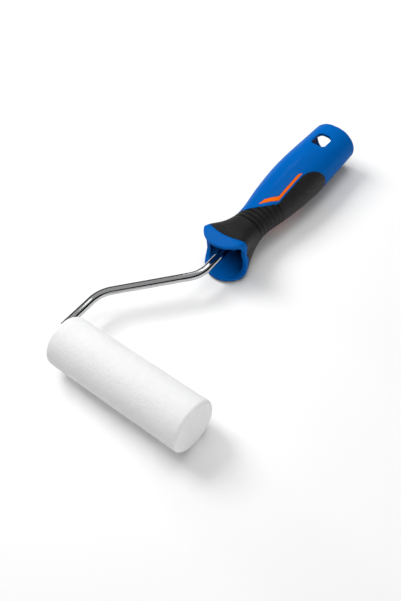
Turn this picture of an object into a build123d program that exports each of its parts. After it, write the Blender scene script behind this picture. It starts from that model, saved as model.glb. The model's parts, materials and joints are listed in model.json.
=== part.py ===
from build123d import *
from math import cos, pi, sin
import os

# Mini paint roller: closed-end foam cover on a bent wire frame with a two-component handle.
# Lying on a table: +X along the roller, away from the wire; +Y along the handle, towards its butt; +Z up.
# Everything is drawn about the middle of the roller and moved to the row's origin when it is written.

# Foam cover and its core
FOAM_R = 18.2            # outer radius of the foam
FOAM_HALF = 55.0         # half of the cover's length
FOAM_END = 5.0           # thickness of the foam disc that closes the outer end
FOAM_EDGE = 2.2          # rounding of the cover's edges
CORE_R = 9.0             # outer radius of the plastic core tube
CORE_WALL = 1.5
CORE_INSET = 3.0         # how far the core sits inside the foam at the wire's end
PLUG_T = 2.0             # flange of the plug that closes the core tube
PLUG_SKIRT = 5.0

# Bearing between wire and cover
RUN_GAP = 0.05           # radial clearance of each running fit
LINER_R = 5.0            # outer radius of the bearing liner that snaps on the wire
LINER_SLOT = 1.2         # slots between the snap fingers
LINER_SLOT_LEN = 9.0
BUSH_LEN = 10.0
BUSH_LIP = 1.2
WASHER_GAP = 0.3         # end play between washer and cover
WASHER_T = 1.0
COLLAR_R = 5.2
COLLAR_T = 2.2

# Wire frame
WIRE_R = 3.0
WIRE_TIP_X = 47.0        # free end of the axle
WIRE_RUN_X = -63.6       # the straight run that comes down beside the roller
WIRE_SHOULDER_Y = 42.0
WIRE_NECK_Y = 94.0       # where the slanting run meets the handle's axis
WIRE_TAIL_Y = 168.0      # end of the tail inside the handle
BEND_AXLE_R = 7.6
BEND_SHOULDER_R = 22.0
BEND_NECK_R = 20.0
TIP_CHAMFER = 0.8
GROOVE_D = 0.35
GROOVE_W = 1.6

# Handle: half width, half height and squareness of its section along Y
HANDLE_X = -17.25
HANDLE_SECTIONS = (
    (103.0, 18.0, 16.5, 12.0),
    (112.0, 18.0, 16.5, 12.0),
    (120.0, 17.9, 16.4, 10.0),
    (125.5, 16.9, 15.5, 7.0),
    (131.0, 15.3, 13.9, 4.6),
    (137.0, 13.9, 12.4, 3.2),
    (144.0, 12.9, 11.5, 2.4),
    (152.0, 12.7, 11.3, 2.0),
    (161.0, 13.5, 12.0, 2.0),
    (172.0, 15.4, 13.7, 2.0),
    (186.0, 17.3, 15.4, 2.0),
    (200.0, 18.6, 16.5, 2.0),
    (214.0, 19.0, 16.9, 2.0),
    (228.0, 18.7, 16.6, 2.0),
    (243.0, 18.2, 16.1, 2.0),
    (258.5, 17.6, 15.6, 2.0),
)
SECTION_POINTS = 24
SECTION_SPREAD = 5.0     # squareness that spaces the points of a section
GUARD_FRONT_Y = 108.6    # tips of the guard's two lips, at the middle of its height
GUARD_LEAN = 5.0         # degrees by which the lower lip reaches further forward
GUARD_PLAN_Y = 126.5     # widest line of the lips, seen from above
GUARD_HALF_W = 18.1
WALL_CUT_Y = 13.2        # how far the guard's side walls stand back from the lips
WALL_CUT_Z = 14.2        # half of the height between the lips
WALL_CUT_CORNER = 7.5
HOOD_SECTIONS = (
    (102.0, 14.6, 14.5, 8.0),
    (114.0, 14.6, 14.5, 8.0),
    (121.0, 14.3, 13.7, 7.0),
    (128.0, 12.3, 11.0, 4.5),
    (135.0, 8.4, 7.8, 2.6),
)
BOSS_R = 5.6
BOSS_FRONT_Y = 127.0
BUTT_EDGE = 1.0

# Pole socket in the butt, and the hanging hole
SOCKET_R = 13.5
SOCKET_FLOOR_Y = 196.0
SOCKET_CHAMFER = 2.5
RELIEF_R = 8.0
RELIEF_FLOOR_Y = 178.0
HANG_X = 0.6
HANG_Y = 238.7
HANG_W = 11.6
HANG_L = 13.4
HANG_CORNER = 3.4

# Soft grip moulded over the core
GRIP_T = 1.8
GRIP_FRONT_Y = 121.3
GRIP_FRONT_R = 37.0
GRIP_SIDE_X = 10.2       # the pad's upper edge, from the handle's axis
GRIP_TIP = (-20.0, 146.5)
GRIP_BOW = (-3.5, 155.0)
GRIP_CORNER_Y = 171.5
GRIP_END_Y = 198.0
GRIP_END_R = 27.0
GRIP_OUT_X = 24.0
RIB_COUNT = 7
RIB_FIRST_Y = 146.0
RIB_PITCH = 3.9
RIB_R = 1.1
RIB_RISE = 0.1           # how far the rib cutter's ring stands off the surface at top and bottom
RIB_FADE = 0.6           # and at the sides, where the ribs are shallow

# Accent stripes beside the pad
STRIPE_IN_X = 7.4
STRIPE_OUT_X = 9.0
STRIPE_OUTLINE = (
    (-0.2, 161.2),
    (STRIPE_OUT_X, 172.6),
    (STRIPE_OUT_X, 202.2),
    (STRIPE_IN_X, 199.4),
    (STRIPE_IN_X, 175.2),
    (0.8, 166.6),
)

DEEP = 60.0              # longer than anything that a cutter passes through

# Row frame: origin at the middle of the footprint, on the table
ROW_X = (FOAM_HALF + WIRE_RUN_X - WIRE_R) / 2
ROW_Y = (HANDLE_SECTIONS[-1][0] - FOAM_R) / 2
TO_ROW = Location((-ROW_X, -ROW_Y, FOAM_R))

ALONG_X = Plane.YZ       # a plane whose normal is +X


def tube(x0, x1, outer, inner):
    """A plain tube about the roller's axis from x0 to x1."""
    ring = Circle(outer) - Circle(inner)
    return extrude(ALONG_X.offset(x0) * ring, x1 - x0)


def rod_x(x0, x1, radius):
    """A round bar about the roller's axis from x0 to x1."""
    return extrude(ALONG_X.offset(x0) * Circle(radius), x1 - x0)


def bar_y(y0, y1, radius):
    """A round bar along the handle's axis from y0 to y1."""
    disc = Plane((HANDLE_X, y0, 0), x_dir=(1, 0, 0), z_dir=(0, 1, 0)) * Circle(radius)
    return extrude(disc, y1 - y0)


def oval(y, half_w, half_h, square):
    """One section of the handle: a superellipse in a plane across the handle's axis."""
    points = []
    power = 2 / SECTION_SPREAD
    for step in range(SECTION_POINTS):
        turn = 2 * pi * step / SECTION_POINTS
        across = abs(cos(turn)) ** power * (1 if cos(turn) > 0 else -1)
        up = abs(sin(turn)) ** power * (1 if sin(turn) > 0 else -1)
        reach = (abs(across) ** square + abs(up) ** square) ** (-1 / square)
        points.append((HANDLE_X + half_w * reach * across, y, half_h * reach * up))
    return make_face(Spline(*points, periodic=True))


def body_of(sections, shrink=0.0):
    """A smooth body through the sections, shrunk all round when asked."""
    return loft([oval(y, w - shrink, h - shrink, n) for y, w, h, n in sections])


def section_at(y):
    """Half width and half height of the handle at y, between the two nearest sections."""
    for low, high in zip(HANDLE_SECTIONS, HANDLE_SECTIONS[1:]):
        if low[0] <= y <= high[0]:
            part = (y - low[0]) / (high[0] - low[0])
            return tuple(low[k] + part * (high[k] - low[k]) for k in (1, 2))


def plan_prism(outline, z0=-DEEP / 2, z1=DEEP / 2):
    """The outline, drawn from above about the handle's axis, as an upright prism."""
    face = Pos(HANDLE_X, 0, z0) * make_face(outline)
    return extrude(face, z1 - z0)


def grip_region():
    """Everything that belongs to the soft grip, seen from above: the neck and the pad at its right."""
    rise = GRIP_FRONT_R - (GRIP_FRONT_R ** 2 - GRIP_OUT_X ** 2) ** 0.5
    left_front = (-GRIP_OUT_X, GRIP_FRONT_Y + rise)
    right_front = (GRIP_OUT_X, GRIP_FRONT_Y + rise)
    front = ThreePointArc(left_front, (0, GRIP_FRONT_Y), right_front)
    out = GRIP_OUT_X - GRIP_SIDE_X
    end_rise = (GRIP_END_R ** 2 - (GRIP_END_R - out) ** 2) ** 0.5
    far_end = (GRIP_OUT_X, GRIP_END_Y + end_rise)
    right = Line(right_front, far_end)
    pad_top = (GRIP_SIDE_X, GRIP_END_Y)
    end = TangentArc(pad_top, far_end, tangent=(0, 1))
    corner = (GRIP_SIDE_X, GRIP_CORNER_Y)
    side = Line(pad_top, corner)
    slant = ThreePointArc(corner, GRIP_BOW, GRIP_TIP)
    left = Line(GRIP_TIP, (-GRIP_OUT_X, GRIP_TIP[1]))
    back = Line((-GRIP_OUT_X, GRIP_TIP[1]), left_front)
    return plan_prism([front, right, end, side, slant, left, back])


def stripe_prism(z0, z1):
    return plan_prism(Polyline(*STRIPE_OUTLINE, close=True), z0, z1)


def rib_cutters():
    """Rings that cut the finger ribs across the neck and die out at its sides."""
    rings = []
    for step in range(RIB_COUNT):
        y = RIB_FIRST_Y + RIB_PITCH * step
        half_w, half_h = section_at(y)
        across = Plane((HANDLE_X, y, 0), x_dir=(1, 0, 0), z_dir=(0, -1, 0))
        path = across * Ellipse(half_w + RIB_FADE, half_h + RIB_RISE).edge()
        start = Plane(path @ 0, z_dir=path % 0)
        rings.append(sweep(start * Circle(RIB_R), path=path))
    return rings


def guard_trim():
    """What is cut away in front of the guard: outside the lips' rounded plan, and between them."""
    front = GUARD_FRONT_Y
    depth = GUARD_PLAN_Y - front
    bow = EllipticalCenterArc((0, GUARD_PLAN_Y), GUARD_HALF_W, depth, start_angle=180, arc_size=180)
    far = Polyline(
        (GUARD_HALF_W, GUARD_PLAN_Y),
        (DEEP / 2, GUARD_PLAN_Y),
        (DEEP / 2, front - DEEP / 2),
        (-DEEP / 2, front - DEEP / 2),
        (-DEEP / 2, GUARD_PLAN_Y),
        (-GUARD_HALF_W, GUARD_PLAN_Y),
    )
    lean = Pos(0, front, 0) * Rot(-GUARD_LEAN, 0, 0) * Pos(0, -front, 0)
    outside = lean * plan_prism([bow, far])
    start = Plane((HANDLE_X - DEEP / 2, front, 0), x_dir=(0, 1, 0), z_dir=(1, 0, 0))
    between = extrude(start * RectangleRounded(2 * WALL_CUT_Y, 2 * WALL_CUT_Z, WALL_CUT_CORNER), DEEP)
    return outside + between


def socket_cutter():
    """Pole socket with a chamfered mouth, and the relief behind its floor."""
    butt = HANDLE_SECTIONS[-1][0]
    bore = bar_y(SOCKET_FLOOR_Y, butt + 1, SOCKET_R)
    relief = bar_y(RELIEF_FLOOR_Y, SOCKET_FLOOR_Y + 1, RELIEF_R)
    mouth = Plane((HANDLE_X, butt - SOCKET_CHAMFER / 2, 0), x_dir=(1, 0, 0), z_dir=(0, 1, 0))
    flare = mouth * Cone(SOCKET_R, SOCKET_R + SOCKET_CHAMFER, SOCKET_CHAMFER)
    return bore + relief + flare


def hanging_hole():
    window = RectangleRounded(HANG_W, HANG_L, HANG_CORNER)
    return extrude(Pos(HANDLE_X + HANG_X, HANG_Y, -DEEP / 2) * window, DEEP)


def wire_path():
    axle = (WIRE_TIP_X, 0, 0)
    corner = (WIRE_RUN_X, 0, 0)
    shoulder = (WIRE_RUN_X, WIRE_SHOULDER_Y, 0)
    neck = (HANDLE_X, WIRE_NECK_Y, 0)
    tail = (HANDLE_X, WIRE_TAIL_Y, 0)
    bends = (BEND_AXLE_R, BEND_SHOULDER_R, BEND_NECK_R)
    return FilletPolyline(axle, corner, shoulder, neck, tail, radius=bends)


def make_wire():
    path = wire_path()
    bar = sweep(Plane(path @ 0, z_dir=path % 0) * Circle(WIRE_R), path=path)
    tip = bar.edges().group_by(Axis.X)[-1]
    bar = chamfer(tip, TIP_CHAMFER)
    groove_x = WIRE_TIP_X - LINER_SLOT_LEN / 2
    return bar - tube(groove_x, groove_x + GROOVE_W, WIRE_R + 1, WIRE_R - GROOVE_D)


def make_roller():
    """The cover, its core and the bearing, from the outside in."""
    inner_end = -FOAM_HALF
    disc_x = FOAM_HALF - FOAM_END
    foam = tube(inner_end, disc_x, FOAM_R, CORE_R)
    foam = fillet(foam.edges().group_by(Axis.X)[0].sort_by(SortBy.LENGTH)[-1], FOAM_EDGE)
    disc = rod_x(disc_x, FOAM_HALF, FOAM_R)
    disc = fillet(disc.edges().group_by(Axis.X)[-1], FOAM_EDGE)

    core_x0 = inner_end + CORE_INSET
    core_x1 = disc_x - PLUG_T
    bore = CORE_R - CORE_WALL
    core = tube(core_x0, core_x1, CORE_R, bore)
    plug = rod_x(core_x1, disc_x, CORE_R) + tube(core_x1 - PLUG_SKIRT, core_x1, bore, bore - CORE_WALL)

    run_r = LINER_R + RUN_GAP
    bush_in = tube(core_x0, core_x0 + BUSH_LEN, bore, run_r)
    bush_out = tube(core_x1 - PLUG_SKIRT - BUSH_LEN, core_x1 - PLUG_SKIRT, bore, run_r)

    liner_x1 = core_x1 - PLUG_SKIRT + BUSH_LIP
    liner = tube(core_x0, liner_x1, LINER_R, WIRE_R + RUN_GAP)
    slot = Box(LINER_SLOT_LEN, LINER_SLOT, 4 * LINER_R)
    for turn in (0, 90):
        liner -= Pos(liner_x1 - LINER_SLOT_LEN / 2, 0, 0) * Rot(turn, 0, 0) * slot

    washer_x1 = core_x0 - WASHER_GAP
    washer_x0 = washer_x1 - WASHER_T
    washer = tube(washer_x0, washer_x1, COLLAR_R, WIRE_R)
    collar = tube(washer_x0 - COLLAR_T, washer_x0, COLLAR_R, WIRE_R)
    collar = chamfer(collar.edges().group_by(Axis.X)[0].sort_by(SortBy.LENGTH)[-1], TIP_CHAMFER)
    return {
        "foam_sleeve": foam,
        "foam_end_disc": disc,
        "core_tube": core,
        "core_end_plug": plug,
        "inner_bush": bush_in,
        "outer_bush": bush_out,
        "bearing_liner": liner,
        "thrust_washer": washer,
        "stop_collar": collar,
    }


def make_handle():
    """Hard core with guard and pole socket, soft grip over it, and the two accent stripes."""
    full = body_of(HANDLE_SECTIONS)
    under = body_of(HANDLE_SECTIONS[1:-1], GRIP_T)

    grip = (full & grip_region()) - under
    stripes = {
        "accent_stripe_top": (full & stripe_prism(0, DEEP)) - under,
        "accent_stripe_bottom": (full & stripe_prism(-DEEP, 0)) - under,
    }
    core = full - grip
    for stripe in stripes.values():
        core -= stripe
    core -= guard_trim()
    core -= body_of(HOOD_SECTIONS)
    core += bar_y(BOSS_FRONT_Y, HOOD_SECTIONS[-1][0] + 4, BOSS_R)
    core -= bar_y(BOSS_FRONT_Y - 1, WIRE_TAIL_Y, WIRE_R)
    core -= socket_cutter()
    core -= hanging_hole()
    rear = core.edges().group_by(Axis.Y)[-1].sort_by(SortBy.LENGTH)[-1]
    core = fillet(rear, BUTT_EDGE)
    for ring in rib_cutters():
        grip -= ring
    return {"handle_core": core, "soft_grip": grip, **stripes}


parts = {"wire_frame": make_wire(), **make_roller(), **make_handle()}
os.makedirs("parts", exist_ok=True)
for name, shape in parts.items():
    export_step(TO_ROW * shape, f"parts/{name}.step")
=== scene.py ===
import json
from math import cos, pi, radians, sin

import bpy
from mathutils import Euler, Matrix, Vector, noise


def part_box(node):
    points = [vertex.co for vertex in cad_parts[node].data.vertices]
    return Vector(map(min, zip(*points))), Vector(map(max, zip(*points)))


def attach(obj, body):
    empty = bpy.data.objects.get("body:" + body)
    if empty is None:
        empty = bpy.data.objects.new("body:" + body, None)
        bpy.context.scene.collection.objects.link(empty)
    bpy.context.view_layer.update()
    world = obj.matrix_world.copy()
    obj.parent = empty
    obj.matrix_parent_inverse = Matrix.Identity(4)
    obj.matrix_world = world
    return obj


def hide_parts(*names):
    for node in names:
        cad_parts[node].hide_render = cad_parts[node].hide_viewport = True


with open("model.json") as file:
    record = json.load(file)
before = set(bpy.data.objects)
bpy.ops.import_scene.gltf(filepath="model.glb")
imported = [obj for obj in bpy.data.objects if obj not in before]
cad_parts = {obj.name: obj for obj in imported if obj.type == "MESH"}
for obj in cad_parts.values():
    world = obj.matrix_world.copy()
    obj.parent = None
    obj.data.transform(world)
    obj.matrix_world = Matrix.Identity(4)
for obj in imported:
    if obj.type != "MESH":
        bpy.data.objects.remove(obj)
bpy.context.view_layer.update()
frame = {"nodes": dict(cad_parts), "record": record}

MM = 0.001

# Camera, at the photograph's viewing angle
CAMERA_AT = (0.2386, -0.2781, 0.4332)
CAMERA_TURN = (38.451, 4.850, 39.103)    # degrees about X, Y and Z
FOCAL_LENGTH = 47.92
SENSOR_HEIGHT = 36.0

# Studio
SKY_LOW = 0.003                          # strength below SKY_DARK_UP_TO
SKY_HIGH = 0.50                          # strength above SKY_PALE_FROM
SKY_DARK_UP_TO = 0.55                    # both as the sine of the height above the horizon
SKY_PALE_FROM = 0.80
FLOOR_GREY = 0.95
FLOOR_HALF = 8.0                         # half of the floor's side
SWEEP_NEAR = 0.45                        # the floor fades into the pale backdrop from here
SWEEP_FAR = 1.3                          # and is all backdrop from here on
BACKDROP = 0.96

# Square area lights: name, place, side, watts, and whether reflections show them
LIGHTS = (
    ("key", (-0.75, 0.0, 0.85), 0.55, 8.2, False),
    ("top", (-0.05, -0.05, 0.90), 0.6, 1.3, False),
    ("fill", (0.95, -0.42, 0.35), 0.6, 3.2, False),
    ("glint", (-0.62, 0.75, 0.95), 0.3, 1.2, True),
    ("streak", (0.0, 0.42, 0.92), 0.35, 1.2, True),
    ("edge_glint", (-1.0, 0.05, 0.14), 0.14, 2.4, True),
)

# Foam cover
FOAM_RINGS = 250                         # points around the cover
FOAM_STEP = 0.45 * MM                    # distance between its rings
FOAM_EDGE = 2.6 * MM                     # rounding of the cover's edges
FOAM_EDGE_STEPS = 10
FOAM_LINING = 8 * MM                     # how far the surface reaches into the bore
FOAM_POLE_R = 1.0 * MM                   # the closed end's last ring, before its middle point
FOAM_MARGIN = 0.22 * MM                  # the foam's mean surface lies this far inside its CAD solid
FOAM_SWELL = 0.16 * MM                   # slow unevenness
FOAM_SWELL_RATE = 110.0                  # per metre
FOAM_GRAIN = 0.10 * MM                   # cell clusters
FOAM_GRAIN_RATE = 620.0
FOAM_GRAIN_OCTAVES = 3
FOAM_GRAIN_FALL = 0.9                    # how fast the finer octaves weaken
FOAM_GRAIN_STEP = 2.1                    # how much finer each octave is
FOAM_GRAIN_LIMIT = 1.5                   # cuts off the tallest clusters

# Handle shell
SHELL_CELL = 0.3 * MM                    # cell of the remesh
SHELL_PASSES = 5                         # smoothing passes, which round the moulded edges
SHELL_SMOOTHING = 0.5                    # share of the way that each pass moves a vertex

# Materials
OCCLUSION_SAMPLES = 12
HOLLOW_REACH = 40 * MM                   # painted shade darkens the blue in hollows narrower than about this
GROOVE_REACH = 2.5 * MM                  # and painted shade darkens the grip between its ribs


# ---------------------------------------------------------------- materials

class Look:
    """A principled material and the few node recipes that the looks share."""

    def __init__(self, name, colour, rough, metal=0.0):
        self.material = bpy.data.materials.new(name)
        self.material.use_nodes = True
        self.tree = self.material.node_tree
        self.shader = self.tree.nodes["Principled BSDF"]
        self.shader.inputs["Base Color"].default_value = (*colour, 1.0)
        self.shader.inputs["Roughness"].default_value = rough
        self.shader.inputs["Metallic"].default_value = metal
        self.place = self.tree.nodes.new("ShaderNodeTexCoord").outputs["Object"]

    def scaled(self, scale):
        """The object's own coordinates, stretched by scale."""
        mapping = self.tree.nodes.new("ShaderNodeMapping")
        mapping.inputs["Scale"].default_value = scale
        self.tree.links.new(self.place, mapping.inputs["Vector"])
        return mapping.outputs["Vector"]

    def noise(self, scale, detail=3.0, rough=0.5, stretch=(1, 1, 1)):
        """Soft noise with scale features to the metre."""
        node = self.tree.nodes.new("ShaderNodeTexNoise")
        node.inputs["Scale"].default_value = scale
        node.inputs["Detail"].default_value = detail
        node.inputs["Roughness"].default_value = rough
        self.tree.links.new(self.scaled(stretch), node.inputs["Vector"])
        return node.outputs["Fac"]

    def cells(self, scale):
        """Rounded cells, for pores and leathery grain."""
        node = self.tree.nodes.new("ShaderNodeTexVoronoi")
        node.feature = "F1"
        node.inputs["Scale"].default_value = scale
        self.tree.links.new(self.place, node.inputs["Vector"])
        return node.outputs["Distance"]

    def ranged(self, value, low, high, from_low=0.3, from_high=0.7):
        """Spreads the value from low to high as it goes from from_low to from_high."""
        node = self.tree.nodes.new("ShaderNodeMapRange")
        node.inputs["From Min"].default_value = from_low
        node.inputs["From Max"].default_value = from_high
        node.inputs["To Min"].default_value = low
        node.inputs["To Max"].default_value = high
        self.tree.links.new(value, node.inputs["Value"])
        return node.outputs["Result"]

    def mixed(self, value, low_colour, high_colour):
        """A colour between the two, by the value."""
        node = self.tree.nodes.new("ShaderNodeMix")
        node.data_type = "RGBA"
        node.inputs["A"].default_value = (*low_colour, 1.0)
        node.inputs["B"].default_value = (*high_colour, 1.0)
        self.tree.links.new(value, node.inputs["Factor"])
        return node.outputs["Result"]

    def shaded(self, tone, reach, painted_shade_colour, closed, open_):
        """The tone with painted shade: it falls off to a dark colour inside hollows, where little light
        gets in.
        """
        node = self.tree.nodes.new("ShaderNodeAmbientOcclusion")
        node.samples = OCCLUSION_SAMPLES
        node.inputs["Distance"].default_value = reach
        mix = self.tree.nodes.new("ShaderNodeMix")
        mix.data_type = "RGBA"
        mix.inputs["A"].default_value = (*painted_shade_colour, 1.0)
        self.tree.links.new(tone, mix.inputs["B"])
        self.tree.links.new(self.ranged(node.outputs["AO"], 0.0, 1.0, closed, open_), mix.inputs["Factor"])
        return mix.outputs["Result"]

    def colour(self, output):
        self.tree.links.new(output, self.shader.inputs["Base Color"])

    def rough(self, output):
        self.tree.links.new(output, self.shader.inputs["Roughness"])

    def bump(self, *layers):
        """Each layer is (height output, distance in metres, strength)."""
        normal = None
        for height, distance, strength in layers:
            node = self.tree.nodes.new("ShaderNodeBump")
            node.inputs["Distance"].default_value = distance
            node.inputs["Strength"].default_value = strength
            self.tree.links.new(height, node.inputs["Height"])
            if normal:
                self.tree.links.new(normal, node.inputs["Normal"])
            normal = node.outputs["Normal"]
        self.tree.links.new(normal, self.shader.inputs["Normal"])


def chrome_look():
    """Chromed wire: polished, with fine marks and a faint haze."""
    look = Look("chrome_wire", (0.74, 0.745, 0.76), 0.1, 1.0)
    look.rough(look.ranged(look.noise(260, 4, 0.6), 0.03, 0.09))
    look.colour(look.mixed(look.noise(90, 4, 0.6), (0.46, 0.462, 0.47), (0.57, 0.572, 0.58)))
    look.bump((look.noise(2600, 2, 0.5), 0.00002, 0.12))
    return look.material


def blue_look():
    """Satin polypropylene: eroded grain, slow flow marks, uneven gloss, painted shade inside the guard."""
    look = Look("blue_plastic", (0.0, 0.12, 0.48), 0.42)
    flow = look.noise(34, 4, 0.55, (1, 0.35, 1))
    tone = look.mixed(look.ranged(flow, 0, 1), (0.0, 0.099, 0.40), (0.0, 0.119, 0.46))
    # painted shade: ambient occlusion darkens the blue inside the guard and other hollows
    look.colour(look.shaded(tone, HOLLOW_REACH, (0.0, 0.006, 0.04), 0.28, 0.56))
    look.rough(look.ranged(look.noise(420, 5, 0.65), 0.40, 0.54))
    look.shader.inputs["Specular IOR Level"].default_value = 0.02
    look.shader.inputs["Coat Weight"].default_value = 0.04
    look.shader.inputs["Coat Roughness"].default_value = 0.10
    look.bump((look.noise(3800, 2, 0.5), 0.00003, 0.35), (look.noise(160, 3, 0.5), 0.00008, 0.12))
    return look.material


def grip_look():
    """Soft overmould: dull black with a leathery grain, with painted shade between the ribs."""
    look = Look("black_grip", (0.014, 0.014, 0.015), 0.55)
    tone = look.mixed(look.noise(150, 5, 0.6), (0.006, 0.006, 0.0065), (0.014, 0.014, 0.0145))
    # painted shade: ambient occlusion darkens the black between the ribs
    look.colour(look.shaded(tone, GROOVE_REACH, (0.001, 0.001, 0.001), 0.45, 0.95))
    look.rough(look.ranged(look.noise(900, 4, 0.6), 0.42, 0.66))
    look.shader.inputs["Specular IOR Level"].default_value = 0.32
    look.bump((look.cells(1150), 0.00032, 0.75), (look.noise(620, 3, 0.6), 0.00034, 0.75))
    return look.material


def stripe_look():
    """Orange moulded stripe with a fine grain and slightly uneven gloss."""
    look = Look("orange_plastic", (1.0, 0.19, 0.0), 0.4)
    look.colour(look.mixed(look.noise(200, 3, 0.5), (0.92, 0.135, 0.0), (1.0, 0.165, 0.0)))
    look.shader.inputs["Specular IOR Level"].default_value = 0.05
    look.rough(look.ranged(look.noise(600, 4, 0.6), 0.34, 0.48))
    look.bump((look.noise(3600, 2, 0.5), 0.00003, 0.3))
    return look.material


def foam_look():
    """Fine open-cell foam: white, matt, with pores and slow mottling."""
    look = Look("white_foam", (0.86, 0.86, 0.86), 0.95)
    look.shader.inputs["Specular IOR Level"].default_value = 0.15
    look.shader.inputs["Sheen Weight"].default_value = 0.15
    look.colour(look.mixed(look.noise(230, 6, 0.7), (0.84, 0.84, 0.845), (0.92, 0.92, 0.92)))
    look.bump((look.cells(1900), 0.00035, 0.45), (look.noise(1000, 5, 0.7), 0.0004, 0.45))
    return look.material


def moulded_look(name, colour, rough):
    """Plain moulded plastic of the hidden pieces."""
    look = Look(name, colour, rough)
    dark = tuple(0.93 * part for part in colour)
    look.colour(look.mixed(look.noise(180, 4, 0.6), dark, colour))
    look.rough(look.ranged(look.noise(700, 4, 0.6), rough - 0.06, rough + 0.08))
    look.bump((look.noise(2400, 3, 0.5), 0.00004, 0.3))
    return look.material


def steel_look():
    """Zinc-plated steel with turning marks."""
    look = Look("steel", (0.58, 0.58, 0.57), 0.3, 1.0)
    look.colour(look.mixed(look.noise(400, 4, 0.6), (0.48, 0.48, 0.47), (0.64, 0.64, 0.63)))
    look.rough(look.ranged(look.noise(900, 4, 0.6), 0.24, 0.42))
    look.bump((look.noise(1800, 2, 0.5, (4, 1, 1)), 0.00004, 0.3))
    return look.material


def paint_nodes(looks):
    """Gives each CAD node the look of its material slot."""
    for part in frame["record"]["subparts"]:
        node = frame["nodes"][part["node"]]
        node.data.materials.clear()
        node.data.materials.append(looks[part["material_slot"]])


# ---------------------------------------------------------------- foam cover

def foam_run(start, end):
    """Evenly spaced points from start up to, but without, end."""
    length = ((end[0] - start[0]) ** 2 + (end[1] - start[1]) ** 2) ** 0.5
    steps = max(2, round(length / FOAM_STEP))
    return [tuple(a + step / steps * (b - a) for a, b in zip(start, end)) for step in range(steps)]


def foam_corner(centre, first_angle):
    """A quarter turn of points about centre, clockwise from first_angle in degrees."""
    points = []
    for step in range(FOAM_EDGE_STEPS):
        angle = radians(first_angle - 90 * step / FOAM_EDGE_STEPS)
        points.append((centre[0] + FOAM_EDGE * cos(angle), centre[1] + FOAM_EDGE * sin(angle)))
    return points


def foam_profile(left, right, outer, bore):
    """The cover's outline (x, radius): bore at the wire's end, edges, middle of the closed end."""
    shoulder = outer - FOAM_EDGE
    points = foam_run((left + FOAM_LINING, bore), (left, bore))
    points += foam_run((left, bore), (left, shoulder))
    points += foam_corner((left + FOAM_EDGE, shoulder), 180)
    points += foam_run((left + FOAM_EDGE, outer), (right - FOAM_EDGE, outer))
    points += foam_corner((right - FOAM_EDGE, shoulder), 90)
    points += foam_run((right, shoulder), (right, FOAM_POLE_R))
    return points


def foam_height(point):
    """How far the foam stands off its mean surface: slow swelling plus clusters of cells."""
    slow = noise.noise(point * FOAM_SWELL_RATE)
    fine = noise.fractal(point * FOAM_GRAIN_RATE, FOAM_GRAIN_FALL, FOAM_GRAIN_STEP, FOAM_GRAIN_OCTAVES)
    grain = max(-FOAM_GRAIN_LIMIT, min(FOAM_GRAIN_LIMIT, fine))
    return FOAM_SWELL * slow + FOAM_GRAIN * grain


def turned(outline, axis_y, axis_z):
    """A mesh of the outline turned about the roller's axis, closed by a point at its last end."""
    verts = []
    faces = []
    for x, radius in outline:
        for step in range(FOAM_RINGS):
            turn = 2 * pi * step / FOAM_RINGS
            verts.append(Vector((x, axis_y + radius * cos(turn), axis_z + radius * sin(turn))))
    for ring in range(len(outline) - 1):
        for step in range(FOAM_RINGS):
            a = ring * FOAM_RINGS + step
            b = ring * FOAM_RINGS + (step + 1) % FOAM_RINGS
            faces.append((a, b, b + FOAM_RINGS, a + FOAM_RINGS))
    last = (len(outline) - 1) * FOAM_RINGS
    middle = len(verts)
    verts.append(Vector((outline[-1][0], axis_y, axis_z)))
    for step in range(FOAM_RINGS):
        faces.append((last + step, last + (step + 1) % FOAM_RINGS, middle))
    mesh = bpy.data.meshes.new("foam_cover")
    mesh.from_pydata(verts, [], faces)
    mesh.update()
    return mesh


def roughen(mesh, axis_y, axis_z):
    """Moves each vertex out by the foam's height, and turns the faces outwards."""
    normals = [vertex.normal.copy() for vertex in mesh.vertices]
    probe = len(normals) // 2
    place = mesh.vertices[probe].co
    outwards = Vector((0, place.y - axis_y, place.z - axis_z))
    side = 1 if normals[probe].dot(outwards) > 0 else -1
    for vertex, normal in zip(mesh.vertices, normals):
        vertex.co += side * normal * foam_height(vertex.co)
    if side < 0:
        mesh.flip_normals()
    mesh.shade_smooth()


def make_foam(look):
    """One fine surface for the foam sleeve and the disc that closes it."""
    sleeve_low, sleeve_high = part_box("foam_sleeve")
    disc_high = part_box("foam_end_disc")[1]
    tube_low, tube_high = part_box("core_tube")
    axis_y = (sleeve_low.y + sleeve_high.y) / 2
    axis_z = (sleeve_low.z + sleeve_high.z) / 2
    left = sleeve_low.x + FOAM_MARGIN
    right = disc_high.x - FOAM_MARGIN
    outer = (sleeve_high.z - sleeve_low.z) / 2 - FOAM_MARGIN
    bore = (tube_high.z - tube_low.z) / 2
    mesh = turned(foam_profile(left, right, outer, bore), axis_y, axis_z)
    roughen(mesh, axis_y, axis_z)
    mesh.materials.append(look)
    foam = bpy.data.objects.new("foam_cover", mesh)
    bpy.context.scene.collection.objects.link(foam)
    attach(foam, "cover")
    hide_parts("foam_sleeve", "foam_end_disc")


# ---------------------------------------------------------------- handle

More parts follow.
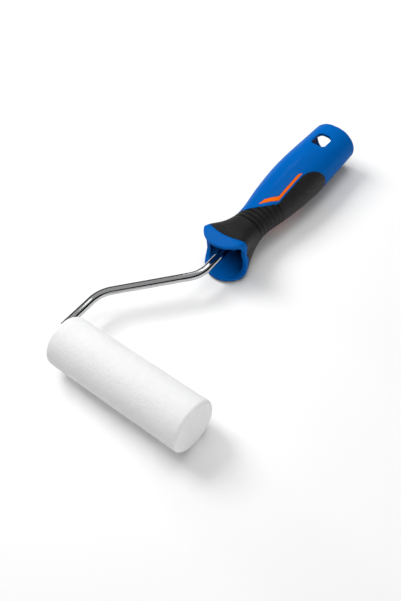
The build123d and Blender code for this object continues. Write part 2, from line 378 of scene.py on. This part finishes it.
def soften(name, source, look):
    """A finer copy of a moulded piece, with its edges rounded as they come out of a mould."""
    node = frame["nodes"][source]
    piece = bpy.data.objects.new(name, node.data.copy())
    piece.matrix_world = node.matrix_world
    bpy.context.scene.collection.objects.link(piece)
    remesh = piece.modifiers.new("cells", "REMESH")
    remesh.mode = "VOXEL"
    remesh.voxel_size = SHELL_CELL
    remesh.use_smooth_shade = True
    smooth = piece.modifiers.new("smooth", "SMOOTH")
    smooth.factor = SHELL_SMOOTHING
    smooth.iterations = SHELL_PASSES
    bpy.context.view_layer.update()
    finished = piece.evaluated_get(bpy.context.evaluated_depsgraph_get())
    baked = bpy.data.meshes.new_from_object(finished)
    piece.modifiers.clear()
    piece.data = baked
    baked.name = name
    baked.shade_smooth()
    baked.materials.clear()
    baked.materials.append(look)
    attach(piece, "frame")
    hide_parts(source)
    return piece


def make_handle(looks):
    """The blue core, with the look and the slot of its plastic."""
    core = soften("handle_shell", "handle_core", looks["blue_plastic"])


# ---------------------------------------------------------------- studio

def make_camera():
    """The camera of the photograph, with everything in focus."""
    data = bpy.data.cameras.new("camera")
    data.sensor_fit = "VERTICAL"
    data.sensor_height = SENSOR_HEIGHT
    data.lens = FOCAL_LENGTH
    data.clip_start = 0.01
    data.clip_end = 20.0
    camera = bpy.data.objects.new("camera", data)
    camera.location = CAMERA_AT
    camera.rotation_euler = Euler([radians(turn) for turn in CAMERA_TURN], "XYZ")
    bpy.context.scene.collection.objects.link(camera)
    bpy.context.scene.camera = camera


def softbox(name, place, size, power, mirrored):
    """A square area light facing the object's middle; reflections show it if it is mirrored."""
    data = bpy.data.lights.new(name, "AREA")
    data.shape = "SQUARE"
    data.size = size
    data.energy = power
    light = bpy.data.objects.new(name, data)
    light.location = place
    light.rotation_euler = (-Vector(place)).to_track_quat("-Z", "Y").to_euler()
    light.visible_glossy = mirrored
    bpy.context.scene.collection.objects.link(light)


def seen(tree):
    """1 where the camera looks at something directly, 0 in its light and its reflections."""
    return tree.nodes.new("ShaderNodeLightPath").outputs["Is Camera Ray"]


def floor_look():
    """Matt white paper that fades, for the eye only, into an evenly lit backdrop."""
    look = Look("floor", (FLOOR_GREY, FLOOR_GREY, FLOOR_GREY), 0.9)
    look.shader.inputs["Specular IOR Level"].default_value = 0.1
    tree = look.tree
    distance = tree.nodes.new("ShaderNodeVectorMath")
    distance.operation = "LENGTH"
    tree.links.new(look.place, distance.inputs[0])
    fade = look.ranged(distance.outputs["Value"], 0.0, 1.0, SWEEP_NEAR, SWEEP_FAR)
    share = tree.nodes.new("ShaderNodeMath")
    share.operation = "MULTIPLY"
    tree.links.new(fade, share.inputs[0])
    tree.links.new(seen(tree), share.inputs[1])
    glow = tree.nodes.new("ShaderNodeEmission")
    glow.inputs["Color"].default_value = (BACKDROP, BACKDROP, BACKDROP, 1.0)
    mix = tree.nodes.new("ShaderNodeMixShader")
    tree.links.new(share.outputs["Value"], mix.inputs[0])
    tree.links.new(look.shader.outputs["BSDF"], mix.inputs[1])
    tree.links.new(glow.outputs["Emission"], mix.inputs[2])
    tree.links.new(mix.outputs["Shader"], tree.nodes["Material Output"].inputs["Surface"])
    return look.material


def make_floor():
    """One large square sheet under the object."""
    corners = [(-1, -1, 0), (1, -1, 0), (1, 1, 0), (-1, 1, 0)]
    mesh = bpy.data.meshes.new("floor")
    mesh.from_pydata([Vector(corner) * FLOOR_HALF for corner in corners], [], [(0, 1, 2, 3)])
    mesh.materials.append(floor_look())
    floor = bpy.data.objects.new("floor", mesh)
    bpy.context.scene.collection.objects.link(floor)


def make_sky():
    """A grey studio that is dark at the horizon and lighter overhead."""
    world = bpy.data.worlds.new("studio")
    world.use_nodes = True
    tree = world.node_tree
    split = tree.nodes.new("ShaderNodeSeparateXYZ")
    fade = tree.nodes.new("ShaderNodeMapRange")
    fade.interpolation_type = "SMOOTHSTEP"
    fade.inputs["From Min"].default_value = SKY_DARK_UP_TO
    fade.inputs["From Max"].default_value = SKY_PALE_FROM
    fade.inputs["To Min"].default_value = SKY_LOW
    fade.inputs["To Max"].default_value = SKY_HIGH
    tree.links.new(tree.nodes.new("ShaderNodeTexCoord").outputs["Generated"], split.inputs["Vector"])
    tree.links.new(split.outputs["Z"], fade.inputs["Value"])
    level = tree.nodes.new("ShaderNodeMix")
    level.inputs["B"].default_value = BACKDROP
    tree.links.new(seen(tree), level.inputs["Factor"])
    tree.links.new(fade.outputs["Result"], level.inputs["A"])
    background = tree.nodes["Background"]
    background.inputs["Color"].default_value = (1.0, 1.0, 1.0, 1.0)
    tree.links.new(level.outputs["Result"], background.inputs["Strength"])
    bpy.context.scene.world = world


def make_studio():
    """Sky, lights and floor, with colours shown as they are."""
    make_sky()
    bpy.context.scene.view_settings.view_transform = "Standard"
    for light in LIGHTS:
        softbox(*light)
    make_floor()


# ---------------------------------------------------------------- the scene

looks = {
    "chrome_wire": chrome_look(),
    "steel": steel_look(),
    "nylon": moulded_look("nylon", (0.80, 0.79, 0.74), 0.45),
    "blue_plastic": blue_look(),
    "black_grip": grip_look(),
    "orange_plastic": stripe_look(),
    "core_plastic": moulded_look("core_plastic", (0.78, 0.79, 0.80), 0.4),
    "white_foam": foam_look(),
}
make_camera()
make_studio()
paint_nodes(looks)
make_foam(looks["white_foam"])
make_handle(looks)
